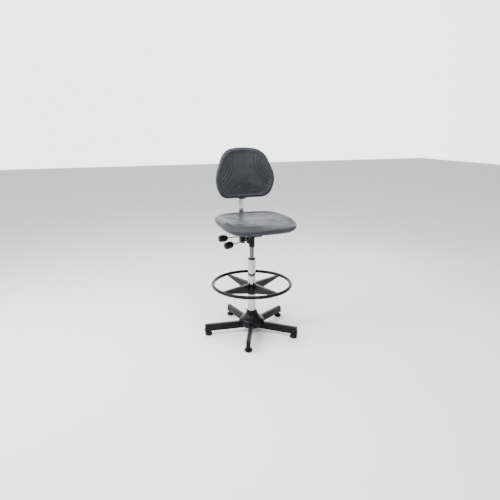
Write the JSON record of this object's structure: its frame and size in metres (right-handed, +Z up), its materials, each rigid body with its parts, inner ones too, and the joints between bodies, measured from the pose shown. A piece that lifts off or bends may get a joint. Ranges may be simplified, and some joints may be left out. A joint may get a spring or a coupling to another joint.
{
  "type": "drafting chair",
  "caption": "Drafting chair with a moulded seat and backrest, two hand levers, a gas column, an adjustable footring and a star base on glides.",
  "frame": {"origin": "on the floor, under the middle of the chair's footprint; the column's axis is at x 0.017, y -0.011", "axes": "+Z up, the sitter faces -Y, the sitter's right hand (levers) is at -X"},
  "size_m": [0.5913, 0.597, 1.1867],
  "materials": {
    "foam": "moulded polyurethane foam with a fine-grained skin, satin",
    "plastic": "black moulded plastic, satin",
    "lacquer": "black powder coat on steel",
    "casting": "black powder coat on cast aluminium",
    "chrome": "bright chrome plate",
    "steel": "zinc-plated steel",
    "rubber": "black rubber",
    "wood": "bare moulded plywood"
  },
  "bodies": {
    "base": {"base_arm_1": "lacquer", "base_arm_2": "lacquer", "base_arm_3": "lacquer", "base_arm_4": "lacquer", "base_arm_5": "lacquer", "arm_end_cap_1": "plastic", "arm_end_cap_2": "plastic", "arm_end_cap_3": "plastic", "arm_end_cap_4": "plastic", "arm_end_cap_5": "plastic", "base_hub": "lacquer", "hub_cover": "plastic", "column_tube": "chrome", "guide_bush": "plastic", "column_foot": "steel", "bearing_lower_washer": "steel"},
    "footring": {"footring": "lacquer", "footring_star": "casting", "footring_collet": "plastic"},
    "footring_screw": {"footring_clamp_screw": "lacquer"},
    "spindle": {"piston_rod": "steel", "piston": "steel", "rod_clip": "steel", "bearing_ball_cage": "steel", "bearing_upper_washer": "steel", "column_damper": "rubber"},
    "seat_frame": {"pressure_tube": "chrome", "taper_socket": "lacquer", "seat_pan": "lacquer", "lift_lever_bracket": "steel", "tilt_lever_bracket": "steel", "tilt_axle": "steel", "tilt_clamp_block": "plastic", "tilt_clamp_strap": "steel", "seat_cushion": "foam", "seat_board": "wood", "seat_bolt_1": "steel", "seat_bolt_2": "steel", "seat_bolt_3": "steel", "seat_bolt_4": "steel"},
    "lift_lever": {"lift_lever_rod": "chrome", "lift_lever_knob": "plastic"},
    "valve": {"valve_pin": "steel"},
    "tilt_lever": {"tilt_lever_rod": "chrome", "tilt_lever_knob": "plastic"},
    "back_support": {"back_rocker": "lacquer", "back_bar": "chrome", "bar_bolt": "steel", "tilt_spring": "steel"},
    "backrest": {"back_cushion": "foam", "back_board": "wood", "back_housing": "plastic", "back_screw_1": "steel", "back_screw_2": "steel"},
    "back_knob": {"back_clamp_knob": "plastic"},
    "glide_1": {"glide_1": "plastic"},
    "glide_2": {"glide_2": "plastic"},
    "glide_3": {"glide_3": "plastic"},
    "glide_4": {"glide_4": "plastic"},
    "glide_5": {"glide_5": "plastic"}
  },
  "joints": [
    {"name": "glide_1_turn", "type": "hinge", "parent": "base", "child": "glide_1", "pos_m": [-0.10602, -0.27361, 0], "axis": [0, 0, 1], "continuous": true},
    {"name": "glide_2_turn", "type": "hinge", "parent": "base", "child": "glide_2", "pos_m": [0.22875, -0.20915, 0], "axis": [0, 0, 1], "continuous": true},
    {"name": "glide_3_turn", "type": "hinge", "parent": "base", "child": "glide_3", "pos_m": [0.27088, 0.12915, 0], "axis": [0, 0, 1], "continuous": true},
    {"name": "glide_4_turn", "type": "hinge", "parent": "base", "child": "glide_4", "pos_m": [-0.03784, 0.27377, 0], "axis": [0, 0, 1], "continuous": true},
    {"name": "glide_5_turn", "type": "hinge", "parent": "base", "child": "glide_5", "pos_m": [-0.27078, 0.02484, 0], "axis": [0, 0, 1], "continuous": true},
    {"name": "footring_height", "type": "slide", "parent": "base", "child": "footring", "axis": [0, 0, 1], "range_m": [-0.105, 0.14]},
    {"name": "footring_clamp_turn", "type": "hinge", "parent": "footring", "child": "footring_screw", "pos_m": [0.00218, -0.04381, 0.301], "axis": [-0.4115, -0.9114, 0], "range_deg": [0, 180]},
    {"name": "seat_swivel", "type": "hinge", "parent": "base", "child": "spindle", "pos_m": [0.017, -0.011, 0.047], "axis": [0, 0, 1], "continuous": true},
    {"name": "seat_height", "type": "slide", "parent": "spindle", "child": "seat_frame", "axis": [0, 0, 1], "range_m": [-0.07, 0.15]},
    {"name": "lift_lever_pull", "type": "hinge", "parent": "seat_frame", "child": "lift_lever", "pos_m": [-0.017, -0.054, 0.658], "axis": [0, 1, 0], "range_deg": [0, 6.5], "stiffness_Nm_per_rad": 1.5},
    {"name": "valve_press", "type": "slide", "parent": "seat_frame", "child": "valve", "axis": [0, 0, -1], "range_m": [0, 0.004]},
    {"name": "tilt_lever_pull", "type": "hinge", "parent": "seat_frame", "child": "tilt_lever", "pos_m": [-0.025, 0.004, 0.678], "axis": [0, 1, 0], "range_deg": [0, 8]},
    {"name": "back_recline", "type": "hinge", "parent": "seat_frame", "child": "back_support", "pos_m": [0.017, 0.063, 0.672], "axis": [-1, 0, 0], "range_deg": [-2, 16]},
    {"name": "back_height", "type": "slide", "parent": "back_support", "child": "backrest", "axis": [0, 0.0523, 0.9986], "range_m": [-0.04, 0.04]},
    {"name": "back_clamp_turn", "type": "hinge", "parent": "backrest", "child": "back_knob", "pos_m": [0.017, 0.13265, 0.97885], "axis": [0, 0.9986, -0.0523], "range_deg": [0, 180]}
  ],
  "couplings": [
    {"joint": "valve_press", "follows": "lift_lever_pull", "m_per_rad": 0.034}
  ]
}
